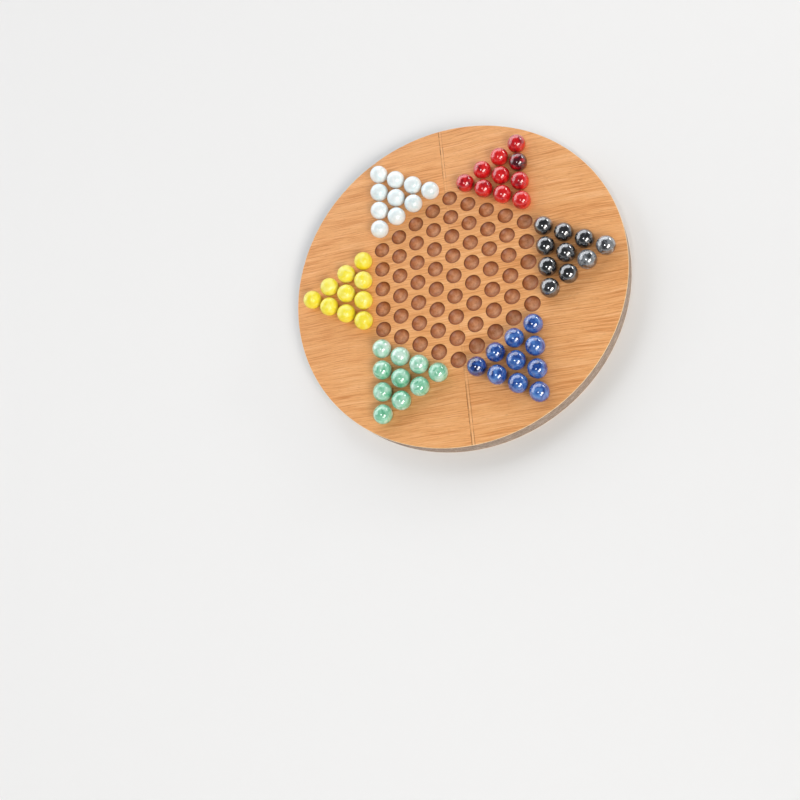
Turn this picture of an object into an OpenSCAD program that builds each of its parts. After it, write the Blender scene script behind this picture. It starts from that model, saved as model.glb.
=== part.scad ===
// Round Chinese checkers board: a fibreboard disc with a beech leaf glued to each side, 121 round
// seats laid out as a six-pointed star, and sixty glass marbles, ten in each point of the star.
// The origin is the centre of the underside. +Z is up, and +X runs to the tip of the black point.

/* [Marbles] */
// Diameter of a glass marble
marble_diameter = 16; // [13:0.1:20]
// Gap for fingertips between two neighbouring marbles
marble_gap = 2.7; // [1:0.1:6]

/* [Seats] */
// Depth of a seat below the face of the board
seat_depth = 4; // [2:0.1:6]
// Gap between a marble and the round seat that it lies in
seat_clearance = 0.1; // [0.05:0.05:0.3]

/* [Board] */
// Distance from the centre of the seat at a point's tip to the rim
rim_margin = 16.5; // [10:0.5:40]
// Thickness of the fibreboard core
core_thickness = 14.8; // [8:0.2:25]
// Thickness of each of the two beech leaves
veneer_thickness = 0.6; // [0.4:0.1:1.5]
// Width of the sanded bevel around the outer edge of each leaf
edge_bevel = 0.3; // [0.1:0.05:0.35]

/* [Hidden] */
// A point of the star holds rows of 1, 2, 3 and 4 marbles, counted from its tip.
rows_in_point = 4;
point_angle = 60;

// The seats lie on a grid of equal triangles, in columns that run along Y.
seat_pitch = marble_diameter + marble_gap;
column_step = seat_pitch * cos(30);
tip_column = 2 * rows_in_point;

seat_radius = marble_diameter / 2 + seat_clearance;
board_radius = tip_column * column_step + rim_margin;

core_bottom = veneer_thickness;
core_top = core_bottom + core_thickness;
face_top = core_top + veneer_thickness;
// A seat and its marble share one centre, a little above the face.
marble_centre_z = face_top + seat_radius - seat_depth;

// Fineness of the round shapes
$fn = 96;

// One row of a point that lies along +X; row 1 is the single seat at the tip.
function point_row(row) = [
    for (i = [0 : row - 1])
        [(tip_column + 1 - row) * column_step, (i - (row - 1) / 2) * seat_pitch]
];

// The hexagon between the six points, column by column
function hexagon_seats() = [
    for (column = [-rows_in_point : rows_in_point])
        let (last = tip_column - abs(column))
            for (i = [0 : last])
                [column * column_step, (i - last / 2) * seat_pitch]
];

// Each point's marbles, anticlockwise from +X: the name and the colour of its glass
glass = [
    ["black", "#3b3c40"],
    ["red", "#a3131a"],
    ["white", "#e8eef0"],
    ["yellow", "#f3d51f"],
    ["green", "#4fb795"],
    ["blue", "#1b50b8"]
];

// The marbles of one point: a name and the seats for each node. The two of the second row are alike
// and share a node.
row_names = ["tip", "second_row", "third_row", "fourth_row"];
marble_sets = concat(
    [["tip_marble", point_row(1)], ["second_row_marbles", point_row(2)]],
    [
        for (row = [3 : rows_in_point])
            for (i = [0 : row - 1])
                [str(row_names[row - 1], "_marble_", i + 1), [point_row(row)[i]]]
    ]
);

function marble_node(point, set) = str(glass[point][0], "_", marble_sets[set][0]);
last_point = len(glass) - 1;
last_set = len(marble_sets) - 1;

// A ball on each of the given seats, at the height where a marble lies
module balls(seats, radius) {
    for (seat = seats)
        translate([seat.x, seat.y, marble_centre_z]) sphere(r = radius);
}

// The 121 seats, as the balls that the cutter sweeps out
module seat_cutters() {
    balls(hexagon_seats(), seat_radius);
    for (point = [0 : last_point])
        rotate([0, 0, point * point_angle])
            for (row = [1 : rows_in_point])
                balls(point_row(row), seat_radius);
}

// A round leaf of veneer standing on z = 0, with its outer edge bevelled on the upper side
module bevelled_leaf() {
    rotate_extrude()
        polygon([
            [0, 0],
            [board_radius, 0],
            [board_radius, veneer_thickness - edge_bevel],
            [board_radius - edge_bevel, veneer_thickness],
            [0, veneer_thickness]
        ]);
}

// Fibreboard core: the seats are cut into it through the face veneer
module core_disc() {
    color("#b79f8b")
        difference() {
            translate([0, 0, core_bottom]) cylinder(h = core_thickness, r = board_radius);
            seat_cutters();
        }
}

// Beech leaf on the playing side, open over every seat
module face_veneer() {
    color("#e2a873")
        difference() {
            translate([0, 0, core_top]) bevelled_leaf();
            seat_cutters();
        }
}

// Plain beech leaf on the underside, which keeps the disc flat and is what the board rests on
module back_veneer() {
    color("#dcae7c")
        translate([0, 0, veneer_thickness]) mirror([0, 0, 1]) bevelled_leaf();
}

// The glass marbles of one set, in the point of their own colour
module marbles(point, set) {
    color(glass[point][1])
        rotate([0, 0, point * point_angle])
            balls(marble_sets[set][1], marble_diameter / 2);
}

core_disc();
face_veneer();
back_veneer();
for (point = [0 : last_point])
    for (set = [0 : last_set])
        marbles(point, set);
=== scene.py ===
import math
import random

import bpy
from mathutils import Matrix, Vector


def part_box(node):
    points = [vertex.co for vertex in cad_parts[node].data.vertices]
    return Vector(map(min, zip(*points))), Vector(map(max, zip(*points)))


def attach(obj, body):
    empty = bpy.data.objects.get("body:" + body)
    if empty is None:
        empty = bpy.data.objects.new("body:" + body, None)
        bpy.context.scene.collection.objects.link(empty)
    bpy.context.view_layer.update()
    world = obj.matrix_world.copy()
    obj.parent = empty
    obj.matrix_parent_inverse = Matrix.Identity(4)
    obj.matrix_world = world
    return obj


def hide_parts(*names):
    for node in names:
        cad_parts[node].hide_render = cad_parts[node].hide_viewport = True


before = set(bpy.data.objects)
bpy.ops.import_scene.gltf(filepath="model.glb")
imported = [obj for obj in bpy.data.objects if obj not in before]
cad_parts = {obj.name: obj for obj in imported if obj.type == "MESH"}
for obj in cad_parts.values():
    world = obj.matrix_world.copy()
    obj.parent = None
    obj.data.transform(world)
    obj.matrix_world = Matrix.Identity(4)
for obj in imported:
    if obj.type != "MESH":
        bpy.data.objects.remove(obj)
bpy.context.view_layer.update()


# The core: a disc sawn out of fibreboard almost 15 mm thick. Its fine grey-tan edge is left bare all round,
# and the 121 seats are milled into it with a ball-nosed cutter, then sealed with a brown stain.
mm = 0.001
core_low, core_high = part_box("core_disc")
face_low, face_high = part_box("face_veneer")
tip_low, tip_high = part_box("black_tip_marble")
board_radius = face_high.x
marble_radius = (tip_high.z - tip_low.z) / 2
marble_height = (tip_high.z + tip_low.z) / 2

# The seats lie on a grid of equal triangles, in columns that run along Y. A point of the star holds rows of
# one, two, three and four seats, counted from its tip.
rows_in_point = 4
tip_column = 2 * rows_in_point
seat_pitch = (tip_high.x + tip_low.x) / 2 / (tip_column * math.cos(math.pi / 6))
column_step = seat_pitch * math.cos(math.pi / 6)
seat_clearance = 0.1 * mm
seat_radius = marble_radius + seat_clearance
rim_radius = math.sqrt(seat_radius**2 - (marble_height - face_high.z) ** 2)
# No seat comes this close to the board's edge.
plain_band = 3 * mm


def point_row(row):
    """The seats of one row of a point that lies along +X; row 1 is the single seat at its tip."""
    x = (tip_column + 1 - row) * column_step
    return [Vector((x, (i - (row - 1) / 2) * seat_pitch, 0)) for i in range(row)]


def turned(places, point):
    """Places in the first point, turned to another point of the star."""
    return [Matrix.Rotation(point * math.pi / 3, 3, "Z") @ place for place in places]


# The seats of the hexagon between the points, and then those of the points themselves
seats = []
for column in range(-rows_in_point, rows_in_point + 1):
    last = tip_column - abs(column)
    for i in range(last + 1):
        seats.append(Vector((column * column_step, (i - last / 2) * seat_pitch, 0)))
for point in range(6):
    for row in range(1, rows_in_point + 1):
        seats += turned(point_row(row), point)


def blank(name, profile, sides):
    """A disc turned from a profile of (radius, height), which holds the seats as loose points."""
    points = [Vector((0, 0, profile[0][1])), Vector((0, 0, profile[-1][1]))]
    for radius, height in profile[1:-1]:
        for side in range(sides):
            angle = 2 * math.pi * side / sides
            points.append(Vector((radius * math.cos(angle), radius * math.sin(angle), height)))
    faces = []
    rings = len(profile) - 2
    for side in range(sides):
        after = (side + 1) % sides
        faces.append((0, 2 + after, 2 + side))
        for ring in range(rings - 1):
            low = 2 + ring * sides
            faces.append((low + side, low + after, low + sides + after, low + sides + side))
        top = 2 + (rings - 1) * sides
        faces.append((1, top + side, top + after))
    mesh = bpy.data.meshes.new(name)
    mesh.from_pydata(points + seats, [], faces)
    marks = mesh.attributes.new("is_seat", "FLOAT", "POINT")
    marks.data.foreach_set("value", [0.0] * len(points) + [1.0] * len(seats))
    disc = bpy.data.objects.new(name, mesh)
    bpy.context.scene.collection.objects.link(disc)
    return disc


def add(tree, kind, inputs=None, stops=None, **settings):
    """Adds a node and gives its outputs. An input is a plain value, or the socket it is linked from."""
    # Inputs that share a name go by number. A Mix node has its share at 0, its numbers at 2 and 3, and its
    # colours at 6 and 7.
    made = tree.nodes.new(kind)
    for name, value in settings.items():
        setattr(made, name, value)
    for key, value in (inputs or {}).items():
        if isinstance(value, bpy.types.NodeSocket):
            tree.links.new(value, made.inputs[key])
        else:
            made.inputs[key].default_value = value
    if stops:
        ramp = made.color_ramp.elements
        while len(ramp) < len(stops):
            ramp.new(0.5)
        for element, (place, colour) in zip(ramp, stops):
            element.position = place
            element.color = linear(colour)
    return made.outputs


def geometry_tree(name, inputs, result):
    """A new geometry tree that gives one result, and the sockets of its named inputs."""
    tree = bpy.data.node_groups.new(name, "GeometryNodeTree")
    for given_name, kind in inputs.items():
        tree.interface.new_socket(given_name, in_out="INPUT", socket_type=f"NodeSocket{kind}")
    tree.interface.new_socket(result, in_out="OUTPUT", socket_type="NodeSocketGeometry")
    return tree, add(tree, "NodeGroupInput")


# The milling, the same for the core and the face leaf: every seat takes a ball, and a shallow cone that
# breaks its rim.
milling, given = geometry_tree(
    "seat_milling",
    {
        "Disc": "Geometry",
        "Ball radius": "Float",
        "Ball height": "Float",
        "Rim radius": "Float",
        "Rim height": "Float",
        "Rim break": "Float",
        "Facets": "Int",
        "Finish": "Material",
    },
    "Milled disc",
)
is_seat = add(milling, "GeometryNodeInputNamedAttribute", {"Name": "is_seat"}, data_type="FLOAT")[0]
parted = add(milling, "GeometryNodeSeparateGeometry", {"Geometry": given["Disc"], "Selection": is_seat})
ball = add(
    milling,
    "GeometryNodeMeshUVSphere",
    {"Segments": given["Facets"], "Rings": given["Facets"], "Radius": given["Ball radius"]},
)["Mesh"]
ball_place = add(milling, "ShaderNodeCombineXYZ", {"Z": given["Ball height"]})[0]
ball = add(milling, "GeometryNodeTransform", {"Geometry": ball, "Translation": ball_place})[0]
# The cone runs from one break below the rim to one break above it, at 30 degrees to the face.
run_for_rise = 1.73
flare = add(milling, "ShaderNodeMath", {0: given["Rim break"], 1: run_for_rise}, operation="MULTIPLY")[0]
mouth = add(milling, "ShaderNodeMath", {0: given["Rim radius"], 1: flare}, operation="ADD")[0]
cone_top = add(milling, "ShaderNodeMath", {0: mouth, 1: flare}, operation="ADD")[0]
cone_height = add(milling, "ShaderNodeMath", {0: given["Rim break"], 1: 2.0}, operation="MULTIPLY")[0]
cone_foot = add(
    milling, "ShaderNodeMath", {0: given["Rim height"], 1: given["Rim break"]}, operation="SUBTRACT"
)[0]
cone = add(
    milling,
    "GeometryNodeMeshCone",
    {
        "Vertices": given["Facets"],
        "Radius Bottom": given["Rim radius"],
        "Radius Top": cone_top,
        "Depth": cone_height,
    },
)["Mesh"]
cone_place = add(milling, "ShaderNodeCombineXYZ", {"Z": cone_foot})[0]
cone = add(milling, "GeometryNodeTransform", {"Geometry": cone, "Translation": cone_place})[0]
cut = parted["Inverted"]
for cutter in (ball, cone):
    placed = add(
        milling, "GeometryNodeInstanceOnPoints", {"Points": parted["Selection"], "Instance": cutter}
    )[0]
    swept = add(milling, "GeometryNodeRealizeInstances", {"Geometry": placed})[0]
    cut = add(
        milling,
        "GeometryNodeMeshBoolean",
        {"Mesh 1": cut, "Mesh 2": swept},
        operation="DIFFERENCE",
        solver="MANIFOLD",
    )["Mesh"]
# Surfaces that meet at more than this angle keep a crisp edge between them.
crisp_angle = math.radians(18)
turn = add(milling, "GeometryNodeInputMeshEdgeAngle")["Unsigned Angle"]
is_crisp = add(milling, "FunctionNodeCompare", {"A": turn, "B": crisp_angle}, operation="GREATER_THAN")[0]
cut = add(milling, "GeometryNodeSetShadeSmooth", {"Geometry": cut, "Shade Smooth": True})[0]
cut = add(
    milling,
    "GeometryNodeSetShadeSmooth",
    {"Geometry": cut, "Selection": is_crisp, "Shade Smooth": False},
    domain="EDGE",
)[0]
cut = add(milling, "GeometryNodeSetMaterial", {"Geometry": cut, "Material": given["Finish"]})[0]
add(milling, "NodeGroupOutput", {0: cut})


def made_by(tree, source, values):
    """Runs a geometry tree on an object with the named values, and keeps the result as its plain mesh."""
    grown = source.modifiers.new(tree.name, "NODES")
    grown.node_group = tree
    for item in tree.interface.items_tree:
        if item.in_out == "INPUT" and item.name in values:
            grown[item.identifier] = values[item.name]
    shape = source.evaluated_get(bpy.context.evaluated_depsgraph_get())
    mesh = bpy.data.meshes.new_from_object(shape)
    source.modifiers.remove(grown)
    source.data = mesh


def finish_of(name):
    """A new material and its empty node tree."""
    material = bpy.data.materials.new(name)
    material.use_nodes = True
    material.node_tree.nodes.clear()
    return material, material.node_tree


def linear(colour):
    """An sRGB colour such as "c8a080" as linear red, green, blue and alpha."""
    parts = [int(colour[i : i + 2], 16) / 255 for i in (0, 2, 4)]
    return [p / 12.92 if p <= 0.04045 else ((p + 0.055) / 1.055) ** 2.4 for p in parts] + [1]


def from_axis(tree, place):
    """How far a place lies from the upright axis through the origin."""
    level = add(tree, "ShaderNodeVectorMath", {0: place, 1: (1, 1, 0)}, operation="MULTIPLY")[0]
    return add(tree, "ShaderNodeVectorMath", {0: level}, operation="LENGTH")["Value"]


# Fibreboard, sawn and fine sanded: matt, speckled with pale and dark fibre, with a dark and broken line of
# glue along its top. In the seats the stain leaves it satin brown and mottled, with a painted highlight at
# the bottom of each seat and painted shade towards its rim.
fibreboard, tree = finish_of("sawn_fibreboard")
place = add(tree, "ShaderNodeTexCoord")["Object"]
apart = add(tree, "ShaderNodeSeparateXYZ", {0: place})
# Real fibre is finer than this, and wouldn't show. The layers that it is pressed in lie flat.
fibre_size = 1.7 * mm
layer_height = 1.6 * mm
fibre = add(
    tree, "ShaderNodeTexNoise", {"Vector": place, "Scale": 1 / fibre_size, "Detail": 4.0, "Roughness": 0.7}
)[0]
flat = add(tree, "ShaderNodeVectorMath", {0: place, 1: (0.25, 0.25, 1)}, operation="MULTIPLY")[0]
layers = add(tree, "ShaderNodeTexNoise", {"Vector": flat, "Scale": 1 / layer_height, "Detail": 3.0})[0]
blend = add(tree, "ShaderNodeMix", {0: 0.5, 2: fibre, 3: layers}, data_type="FLOAT")[0]
edge_colour = add(
    tree,
    "ShaderNodeValToRGB",
    {0: blend},
    stops=[(0.34, "7a695b"), (0.46, "958273"), (0.56, "a99688"), (0.66, "c3b4a7")],
)[0]
# The glue line is drawn 0.8 mm tall, taller than it is, so that it can be seen.
glue = add(
    tree,
    "ShaderNodeMapRange",
    {"Value": apart["Z"], "From Min": core_high.z - 0.9 * mm, "From Max": core_high.z - 0.7 * mm},
)[0]
gap_size = 3 * mm
gaps = add(tree, "ShaderNodeTexNoise", {"Vector": place, "Scale": 1 / gap_size, "Detail": 2.0})[0]
gaps = add(tree, "ShaderNodeMapRange", {"Value": gaps, "From Min": 0.4, "From Max": 0.5, "To Max": 0.85})[0]
glue = add(tree, "ShaderNodeMath", {0: glue, 1: gaps}, operation="MULTIPLY")[0]
edge_colour = add(
    tree, "ShaderNodeMix", {0: glue, 6: edge_colour, 7: linear("5b4434")}, data_type="RGBA"
)[2]
# Inside the plain band, only the seats show of the core.
in_seat = add(
    tree,
    "ShaderNodeMath",
    {0: from_axis(tree, place), 1: board_radius - plain_band},
    operation="LESS_THAN",
)[0]
mottle_size = 3.2 * mm
mottle = add(
    tree, "ShaderNodeTexNoise", {"Vector": place, "Scale": 1 / mottle_size, "Detail": 5.0, "Roughness": 0.65}
)[0]
seat_colour = add(
    tree, "ShaderNodeValToRGB", {0: mottle}, stops=[(0.32, "bd7f56"), (0.5, "d69b70"), (0.68, "e8b28a")]
)[0]
# Painted highlight and shade: each seat's stain is painted palest at its bottom, as a highlight, and darker
# up its wall to the rim, as shade.
height = add(
    tree,
    "ShaderNodeMapRange",
    {"Value": apart["Z"], "From Min": marble_height - seat_radius, "From Max": core_high.z},
)[0]
seat_painted_highlight_and_shade = add(
    tree,
    "ShaderNodeValToRGB",
    {0: height},
    stops=[(0.0, "ffffff"), (0.12, "f2e4d6"), (0.4, "d6b99f"), (0.78, "b69274"), (0.98, "855c38")],
)[0]
# The painted highlight and shade are multiplied into the stain's own mottled colour.
seat_colour = add(
    tree, "ShaderNodeMix", {0: 1.0, 6: seat_colour, 7: seat_painted_highlight_and_shade}, data_type="RGBA", blend_type="MULTIPLY"
)[2]
colour = add(tree, "ShaderNodeMix", {0: in_seat, 6: edge_colour, 7: seat_colour}, data_type="RGBA")[2]
roughness = add(tree, "ShaderNodeMix", {0: in_seat, 2: 0.75, 3: 0.42}, data_type="FLOAT")[0]
nap = add(tree, "ShaderNodeBump", {"Height": fibre, "Distance": 0.06 * mm, "Strength": 0.6})[0]
shader = add(
    tree,
    "ShaderNodeBsdfPrincipled",
    {"Base Color": colour, "Roughness": roughness, "IOR": 1.45, "Normal": nap},
)[0]
add(tree, "ShaderNodeOutputMaterial", {"Surface": shader})

core_sides = 384
core = blank(
    "fibreboard_core",
    [(0, core_low.z), (board_radius, core_low.z), (board_radius, core_high.z), (0, core_high.z)],
    core_sides,
)
milled = {
    "Ball radius": seat_radius,
    "Ball height": marble_height,
    "Rim radius": rim_radius,
    "Rim height": face_high.z,
    "Rim break": 0.12 * mm,
    "Facets": 48,
}
made_by(milling, core, {**milled, "Finish": fibreboard})
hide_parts("core_disc")
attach(core, "board")


# The face: one leaf of beech, spliced across the middle out of two sheets, glued on and lacquered.
# Its outer edge is sanded to a small bevel, and the saw has broken small chips out of it.
bevel = 0.3 * mm
# The bevel bulges a little: its middle lies this far in from the edge, and this far down.
bulge_in = 0.1 * mm
bulge_down = 0.09 * mm
# One more ring this far in keeps the bevel's shading off the flat of the face.
flat_from = 1.5 * mm
face_sides = 768
face = blank(
    "beech_face_leaf",
    [
        (0, face_low.z),
        (board_radius, face_low.z),
        (board_radius, face_high.z - bevel),
        (board_radius - bulge_in, face_high.z - bulge_down),
        (board_radius - bevel, face_high.z),
        (board_radius - flat_from, face_high.z),
        (0, face_high.z),
    ],
    face_sides,
)
# A chip pushes the bevel in by its depth, and leaves the leaf's lower edge alone.
chip_count = 60
chip_band = 0.5 * mm
glued_edge = 0.1 * mm
chipping = random.Random(7)
chips = {chipping.randrange(face_sides): chipping.uniform(0.15, 0.6) * mm for chip in range(chip_count)}
for spot in face.data.vertices:
    outward = spot.co.xy.length
    if spot.co.z > face_low.z + glued_edge and outward > board_radius - chip_band:
        side = round(math.atan2(spot.co.y, spot.co.x) / (2 * math.pi) * face_sides) % face_sides
        spot.co.xy *= 1 - chips.get(side, 0) / outward


def beech_figure(tree, place, layers):
    """The streaks of beech along X: each layer has a length and a width in mm, a share and a detail."""
    figure = 0.5
    for length, width, share, detail in layers:
        stretched = add(
            tree,
            "ShaderNodeVectorMath",
            {0: place, 1: (1 / (length * mm), 1 / (width * mm), 1)},
            operation="MULTIPLY",
        )[0]
        layer = add(
            tree,
            "ShaderNodeTexNoise",
            {"Vector": stretched, "Scale": 1.0, "Detail": detail},
            normalize=False,
        )[0]
        figure = add(tree, "ShaderNodeMath", {0: layer, 1: share, 2: figure}, operation="MULTIPLY_ADD")[0]
    return figure


# Lacquered beech: warm and even, with fine low-contrast streaks, under a satin lacquer that softens the
# reflections. Where the saw has cut the leaf's edge the bare wood is paler.
beech, tree = finish_of("lacquered_beech")
place = add(tree, "ShaderNodeTexCoord")["Object"]
apart = add(tree, "ShaderNodeSeparateXYZ", {0: place})
outward = from_axis(tree, place)
# The splice runs almost straight across the grain, and the figure doesn't carry on across it, because the
# second sheet takes its own from elsewhere.
splice_lean = 0.05
sheet_shift = (0.37, 0.37, 0.37)
leaning = add(
    tree, "ShaderNodeMath", {0: apart["Y"], 1: splice_lean, 2: apart["X"]}, operation="MULTIPLY_ADD"
)[0]
sheet = add(tree, "ShaderNodeMath", {0: leaning, 1: 0.0}, operation="GREATER_THAN")[0]
sheet = add(tree, "ShaderNodeCombineXYZ", {"X": sheet, "Y": sheet, "Z": sheet})[0]
in_sheet = add(
    tree, "ShaderNodeVectorMath", {0: sheet, 1: sheet_shift, 2: place}, operation="MULTIPLY_ADD"
)[0]
# The grain sways from side to side by less than 2 mm.
sway_length = 55 * mm
sway_width = 1.8 * mm
sway = add(
    tree,
    "ShaderNodeTexNoise",
    {"Vector": in_sheet, "Scale": 1 / sway_length, "Detail": 1.0},
    normalize=False,
)["Color"]
in_sheet = add(
    tree, "ShaderNodeVectorMath", {0: sway, 1: (0, sway_width, 0), 2: in_sheet}, operation="MULTIPLY_ADD"
)[0]
# Growth layers are broad and soft, and the streaks within them are half a millimetre to 2.4 mm wide.
figure = beech_figure(
    tree, in_sheet, ((140, 12, 0.1, 2), (60, 2.4, 0.08, 1), (38, 0.85, 0.22, 1), (16, 0.45, 0.2, 1))
)
colour = add(
    tree,
    "ShaderNodeValToRGB",
    {0: figure},
    stops=[(0.25, "cb8345"), (0.43, "e29d60"), (0.55, "ecac6e"), (0.75, "f5bc86")],
)[0]
# The rays are short dark dashes along the grain.
ray_length = 4.5 * mm
ray_width = 0.45 * mm
stretched = add(
    tree, "ShaderNodeVectorMath", {0: in_sheet, 1: (1 / ray_length, 1 / ray_width, 1)}, operation="MULTIPLY"
)[0]
fleck = add(tree, "ShaderNodeTexNoise", {"Vector": stretched, "Scale": 1.0, "Detail": 1.0})[0]
ray = add(tree, "ShaderNodeMapRange", {"Value": fleck, "From Min": 0.6, "From Max": 0.7, "To Max": 0.35})[0]
colour = add(tree, "ShaderNodeMix", {0: ray, 6: colour, 7: linear("b57440")}, data_type="RGBA")[2]
# The splice shows in broken stretches. Pressed tighter in the middle, it opens up towards the rim.
stretch_size = 7 * mm
broken = add(tree, "ShaderNodeTexNoise", {"Vector": place, "Scale": 1 / stretch_size, "Detail": 3.0})[0]
broken = add(
    tree, "ShaderNodeMapRange", {"Value": broken, "From Min": 0.38, "From Max": 0.56, "To Min": 0.3}
)[0]
aside = add(tree, "ShaderNodeMath", {0: apart["Y"]}, operation="ABSOLUTE")[0]
open_up = add(
    tree, "ShaderNodeMapRange", {"Value": aside, "From Min": 80 * mm, "From Max": 112 * mm, "To Min": 0.2}
)[0]
broken = add(tree, "ShaderNodeMath", {0: broken, 1: open_up}, operation="MULTIPLY")[0]
# A paler strip of glue, and then the two fine dark lines along its sides
for centre, half_width, tint, strength in (
    (1.2 * mm, 1.1 * mm, "f2c088", 0.6),
    (0.0, 0.6 * mm, "9a5c2c", 0.95),
    (2.4 * mm, 0.45 * mm, "a96a38", 0.8),
):
    away = add(tree, "ShaderNodeMath", {0: leaning, 1: centre}, operation="SUBTRACT")[0]
    away = add(tree, "ShaderNodeMath", {0: away}, operation="ABSOLUTE")[0]
    line = add(
        tree,
        "ShaderNodeMapRange",
        {"Value": away, "From Min": half_width, "From Max": 0.4 * half_width, "To Max": strength},
    )[0]
    line = add(tree, "ShaderNodeMath", {0: line, 1: broken}, operation="MULTIPLY")[0]
    colour = add(tree, "ShaderNodeMix", {0: line, 6: colour, 7: linear(tint)}, data_type="RGBA")[2]
bare = add(
    tree,
    "ShaderNodeMapRange",
    {
        "Value": outward,
        "From Min": board_radius - 0.5 * mm,
        "From Max": board_radius - 0.2 * mm,
        "To Max": 0.9,
    },
)[0]
colour = add(tree, "ShaderNodeMix", {0: bare, 6: colour, 7: linear("f3d6ad")}, data_type="RGBA")[2]
# In the seats the stain has run over the leaf's cut edge too.
stained = add(
    tree,
    "ShaderNodeMapRange",
    {"Value": apart["Z"], "From Min": face_high.z - 0.12 * mm, "From Max": face_high.z - 0.2 * mm},
)[0]
in_seat = add(tree, "ShaderNodeMath", {0: outward, 1: board_radius - plain_band}, operation="LESS_THAN")[0]
stained = add(tree, "ShaderNodeMath", {0: stained, 1: in_seat}, operation="MULTIPLY")[0]
colour = add(tree, "ShaderNodeMix", {0: stained, 6: colour, 7: linear("74431f")}, data_type="RGBA")[2]
pore = add(tree, "ShaderNodeBump", {"Height": fleck, "Distance": 0.03 * mm, "Strength": 0.3})[0]
shader = add(
    tree,
    "ShaderNodeBsdfPrincipled",
    {"Base Color": colour, "Roughness": 0.38, "IOR": 1.5, "Normal": pore},
)[0]
add(tree, "ShaderNodeOutputMaterial", {"Surface": shader})
made_by(milling, face, {**milled, "Finish": beech})
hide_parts("face_veneer")
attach(face, "board")


# The back: a second leaf of beech in one plain sheet, which keeps the disc flat. The board stands on it, so
# it is only sanded and sealed: a little paler than the face, and dull.
sealed, tree = finish_of("sealed_beech")
place = add(tree, "ShaderNodeTexCoord")["Object"]
figure = beech_figure(tree, place, ((150, 14, 0.2, 2), (36, 2.6, 0.22, 2), (12, 0.6, 0.2, 2)))
colour = add(
    tree, "ShaderNodeValToRGB", {0: figure}, stops=[(0.25, "c48f5e"), (0.5, "dcae7d"), (0.75, "e8c59a")]
)[0]
raised = add(tree, "ShaderNodeBump", {"Height": figure, "Distance": 0.05 * mm, "Strength": 0.4})[0]
shader = add(
    tree,
    "ShaderNodeBsdfPrincipled",
    {"Base Color": colour, "Roughness": 0.6, "IOR": 1.5, "Normal": raised},
)[0]
add(tree, "ShaderNodeOutputMaterial", {"Surface": shader})
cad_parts["back_veneer"].data.materials[0] = sealed


# The marbles: pressed glass balls that lie loose in their seats. Each has two faint marks where the shears
# cut the hot gob, and its own turn, so no two show the same side.
rolling, given = geometry_tree(
    "loose_marbles",
    {
        "Places": "Geometry",
        "Radius": "Float",
        "Shear mark": "Float",
        "Ripple": "Float",
        "Seed": "Int",
        "Glass": "Material",
    },
    "Marbles",
)
marble = add(rolling, "GeometryNodeMeshIcoSphere", {"Radius": given["Radius"], "Subdivisions": 5})["Mesh"]
marble = add(rolling, "GeometryNodeSetShadeSmooth", {"Geometry": marble, "Shade Smooth": True})[0]
spot = add(rolling, "GeometryNodeInputPosition")[0]
marble = add(
    rolling,
    "GeometryNodeStoreNamedAttribute",
    {"Geometry": marble, "Name": "in_glass", "Value": spot},
    data_type="FLOAT_VECTOR",
)[0]
# A shear mark is a crimped, slightly sunk patch at each pole that fades out 2.2 mm from its middle.
crimped = add(
    rolling,
    "ShaderNodeMapRange",
    {"Value": from_axis(rolling, spot), "From Min": 2.2 * mm, "From Max": 0.4 * mm},
)[0]
crimp_size = 1.3 * mm
crimp = add(
    rolling,
    "ShaderNodeTexNoise",
    {"Vector": spot, "Scale": 1 / crimp_size, "Detail": 1.0},
    normalize=False,
)[0]
crimp = add(rolling, "ShaderNodeMath", {0: crimp, 1: given["Shear mark"]}, operation="MULTIPLY")[0]
crimp = add(rolling, "ShaderNodeMath", {0: crimp, 1: given["Shear mark"]}, operation="SUBTRACT")[0]
crimp = add(rolling, "ShaderNodeMath", {0: crimp, 1: crimped}, operation="MULTIPLY")[0]
# The whole ball ripples gently, as pressed glass does.
ripple_size = 6 * mm
ripple = add(
    rolling,
    "ShaderNodeTexNoise",
    {"Vector": spot, "Scale": 1 / ripple_size, "Detail": 0.0},
    normalize=False,
)[0]
offset = add(
    rolling, "ShaderNodeMath", {0: ripple, 1: given["Ripple"], 2: crimp}, operation="MULTIPLY_ADD"
)[0]
outward = add(rolling, "ShaderNodeVectorMath", {0: spot}, operation="NORMALIZE")[0]
offset = add(rolling, "ShaderNodeVectorMath", {0: outward, "Scale": offset}, operation="SCALE")[0]
marble = add(rolling, "GeometryNodeSetPosition", {"Geometry": marble, "Offset": offset})[0]
turn = add(
    rolling,
    "FunctionNodeRandomValue",
    {"Min": (-math.pi,) * 3, "Max": (math.pi,) * 3, "Seed": given["Seed"]},
    data_type="FLOAT_VECTOR",
)["Value"]
marbles = add(
    rolling,
    "GeometryNodeInstanceOnPoints",
    {"Points": given["Places"], "Instance": marble, "Rotation": turn},
)[0]
marbles = add(rolling, "GeometryNodeRealizeInstances", {"Geometry": marbles})[0]
marbles = add(rolling, "GeometryNodeSetMaterial", {"Geometry": marbles, "Material": given["Glass"]})[0]
add(rolling, "NodeGroupOutput", {0: marbles})

pressed = {"Radius": marble_radius, "Shear mark": 0.05 * mm, "Ripple": 0.02 * mm}
seeds_in_point = 20


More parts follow.
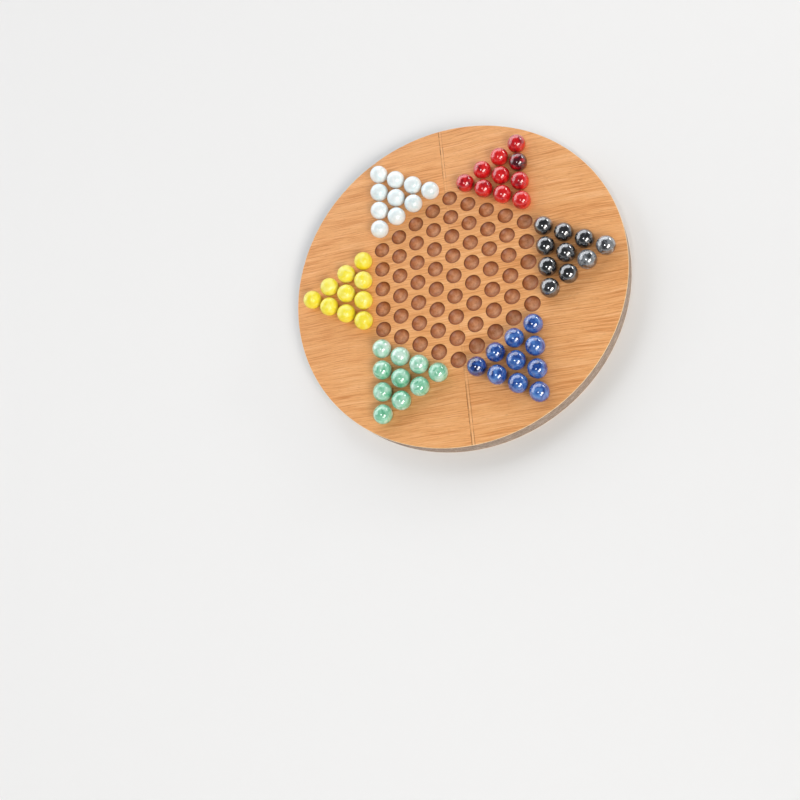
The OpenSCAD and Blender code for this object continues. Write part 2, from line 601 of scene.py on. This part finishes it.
def lay_marbles(colour, point, glass, odd_tones):
    """The ten marbles of one point: a piece for each, but one for the two of the second row."""
    pieces = [("tip_marble", point_row(1)), ("second_row_marbles", point_row(2))]
    for row, row_name in ((3, "third"), (4, "fourth")):
        for i, place in enumerate(point_row(row)):
            pieces.append((f"{row_name}_row_marble_{i + 1}", [place]))
    # A marble's tone runs from 0, dark, to 1, pale. Most lie about the middle, and the odd ones are named.
    mixing = random.Random(point)
    for number, (name, places) in enumerate(pieces):
        node = f"{colour}_{name}"
        mesh = bpy.data.meshes.new(node)
        mesh.from_pydata([spot + Vector((0, 0, marble_height)) for spot in turned(places, point)], [], [])
        tones = odd_tones.get(name, [mixing.uniform(0.4, 0.7) for spot in places])
        mesh.attributes.new("tone", "FLOAT", "POINT").data.foreach_set("value", tones)
        piece = bpy.data.objects.new(f"{node}_glass", mesh)
        bpy.context.scene.collection.objects.link(piece)
        made_by(rolling, piece, {**pressed, "Seed": seeds_in_point * point + number, "Glass": glass})
        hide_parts(node)
        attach(piece, node)


def glass_of(name, stops, roughness, film):
    """Swirled glass, its colours given from the darkest vein to the palest, and the IOR of its film."""
    glass, tree = finish_of(name)
    place = add(tree, "ShaderNodeAttribute", attribute_name="in_glass")["Vector"]
    tone = add(tree, "ShaderNodeAttribute", attribute_name="tone")["Fac"]
    # The tone shifts the veins too, so that no two marbles are swirled alike.
    shift = add(tree, "ShaderNodeVectorMath", {0: tone, 1: (1, 1, 1), 2: place}, operation="MULTIPLY_ADD")[0]
    vein_size = 8 * mm
    vein = add(
        tree,
        "ShaderNodeTexNoise",
        {"Vector": shift, "Scale": 1 / vein_size, "Detail": 3.0, "Distortion": 1.2},
        normalize=False,
    )[0]
    # The veins swing the colour to both sides of the marble's tone.
    vein = add(tree, "ShaderNodeMath", {0: vein, 1: 0.5, 2: tone}, operation="MULTIPLY_ADD")[0]
    colour = add(tree, "ShaderNodeValToRGB", {0: vein}, stops=stops)[0]
    shader = add(
        tree,
        "ShaderNodeBsdfPrincipled",
        {
            "Base Color": colour,
            "Roughness": roughness,
            "IOR": 1.52,
            "Coat Weight": 1.0,
            "Coat Roughness": 0.03,
            "Coat IOR": film,
        },
    )[0]
    add(tree, "ShaderNodeOutputMaterial", {"Surface": shader})
    return glass


# Lustred black glass: almost black, with a silvery bloom in the veins; its metal film mirrors strongly.
black_glass = glass_of(
    "lustred_black_glass", [(0.1, "010102"), (0.5, "101113"), (0.75, "35373b"), (1.0, "858a8f")], 0.25, 2.5
)
lay_marbles("black", 0, black_glass, {"second_row_marbles": (0.95, 0.45), "tip_marble": (0.8,)})
# Ruby glass: bright red with darker veins, under a thin film; one marble is nearly as dark as wine.
ruby_glass = glass_of(
    "ruby_glass", [(0.0, "4a0616"), (0.14, "900a1c"), (0.42, "cc111a"), (0.95, "e82a26")], 0.2, 1.6
)
lay_marbles(
    "red",
    1,
    ruby_glass,
    {"second_row_marbles": (0.03, 0.6), "fourth_row_marble_3": (0.45,), "fourth_row_marble_4": (0.4,)},
)
# Milk glass: opaque white, with veins a little cooler; plain, with no film.
milk_glass = glass_of("milk_glass", [(0.05, "d6eaee"), (0.45, "e9f5f7"), (0.95, "f8fdfe")], 0.3, 1.5)
lay_marbles("white", 2, milk_glass, {})
# Lemon glass: opaque and soft yellow, the dullest of the six.
lemon_glass = glass_of("lemon_glass", [(0.05, "f2dc22"), (0.45, "f8ea3a"), (0.95, "fcf68e")], 0.45, 1.3)
lay_marbles("yellow", 3, lemon_glass, {})
# Mint glass: pale green with whitish veins, under a bright film.
mint_glass = glass_of("mint_glass", [(0.05, "4fa87e"), (0.45, "8fd3b2"), (0.95, "dcf3ea")], 0.2, 1.8)
lay_marbles("green", 4, mint_glass, {})
# Royal blue glass: deep blue that goes to navy, under a bright film.
royal_glass = glass_of("royal_blue_glass", [(0.15, "091748"), (0.5, "1f4c9f"), (1.0, "588bd2")], 0.15, 1.9)
lay_marbles("blue", 5, royal_glass, {})


# The room: a plain pale floor that reaches far past the board, soft lights around most of it, and the
# camera high over the blue point.
reach = 40.0
floor_mesh = bpy.data.meshes.new("floor")
floor_corners = [(-reach, -reach, 0), (reach, -reach, 0), (reach, reach, 0), (-reach, reach, 0)]
floor_mesh.from_pydata(floor_corners, [], [(0, 1, 2, 3)])
floor = bpy.data.objects.new("floor", floor_mesh)
bpy.context.scene.collection.objects.link(floor)
# Matt paint: even and pale, with only a faint sheen.
paint, tree = finish_of("pale_floor")
shader = add(tree, "ShaderNodeBsdfPrincipled", {"Base Color": linear("f0f0ef"), "Roughness": 0.6})[0]
add(tree, "ShaderNodeOutputMaterial", {"Surface": shader})
floor_mesh.materials.append(paint)

# The surroundings are pale near the horizon and dimmer overhead.
world = bpy.data.worlds.new("studio")
bpy.context.scene.world = world
world.use_nodes = True
world.node_tree.nodes.clear()
towards = add(world.node_tree, "ShaderNodeTexCoord")["Generated"]
height = add(world.node_tree, "ShaderNodeSeparateXYZ", {0: towards})["Z"]
sky = add(world.node_tree, "ShaderNodeValToRGB", {0: height}, stops=[(0.1, "f4f5f5"), (0.4, "565a5d")])[0]
sky = add(world.node_tree, "ShaderNodeBackground", {"Color": sky, "Strength": 0.95})[0]
add(world.node_tree, "ShaderNodeOutputWorld", {"Surface": sky})

board_centre = Vector((0, 0, face_high.z))
lamp_distance = 1.4


def bearing(azimuth, elevation):
    """The direction from the board to a light or the camera, from two angles in degrees."""
    around, up = math.radians(azimuth), math.radians(elevation)
    return Vector((math.cos(up) * math.cos(around), math.cos(up) * math.sin(around), math.sin(up)))


def lamp(name, kind, direction, strength, colour, **shape):
    """A soft light that faces the board and isn't seen itself."""
    light = bpy.data.lights.new(name, kind)
    light.energy = strength
    light.color = linear(colour)[:3]
    for size, value in shape.items():
        setattr(light, size, value)
    holder = bpy.data.objects.new(name, light)
    bpy.context.scene.collection.objects.link(holder)
    holder.location = board_centre + lamp_distance * direction
    holder.rotation_euler = direction.to_track_quat("Z", "Y").to_euler()
    holder.visible_camera = False


for azimuth, elevation, strength in ((-40, 37, 1.3), (-66, 33, 0.75)):
    key = bearing(azimuth, elevation)
    lamp(f"key_{-azimuth}", "SUN", key, strength, "fff9f2", angle=math.radians(22))
for azimuth in (83, 123, 163):
    lamp(f"window_{azimuth}", "SUN", bearing(azimuth, 27), 0.85, "f8faff", angle=math.radians(42))
lamp("fill_light", "AREA", bearing(-95, 66), 2.6, "ffffff", size=0.26)
lamp("side_light", "AREA", bearing(40, 13), 2.5, "ffffff", shape="RECTANGLE", size=0.5, size_y=0.14)

lens = bpy.data.cameras.new("camera")
lens.sensor_width = 36
lens.lens = 38.7
lens.shift_x = -0.075
lens.shift_y = -0.14
lens.clip_start = 0.01
camera = bpy.data.objects.new("camera", lens)
bpy.context.scene.collection.objects.link(camera)
bpy.context.scene.camera = camera
view = bearing(-56.6, 61.1)
view_distance = 718 * mm
camera_roll = math.radians(-40.3)
aim_point = board_centre + Vector((4.8, -12.3, 0)) * mm
camera.matrix_world = (
    Matrix.Translation(aim_point + view_distance * view)
    @ view.to_track_quat("Z", "Y").to_matrix().to_4x4()
    @ Matrix.Rotation(camera_roll, 4, "Z")
)
bpy.context.scene.view_settings.view_transform = "Standard"
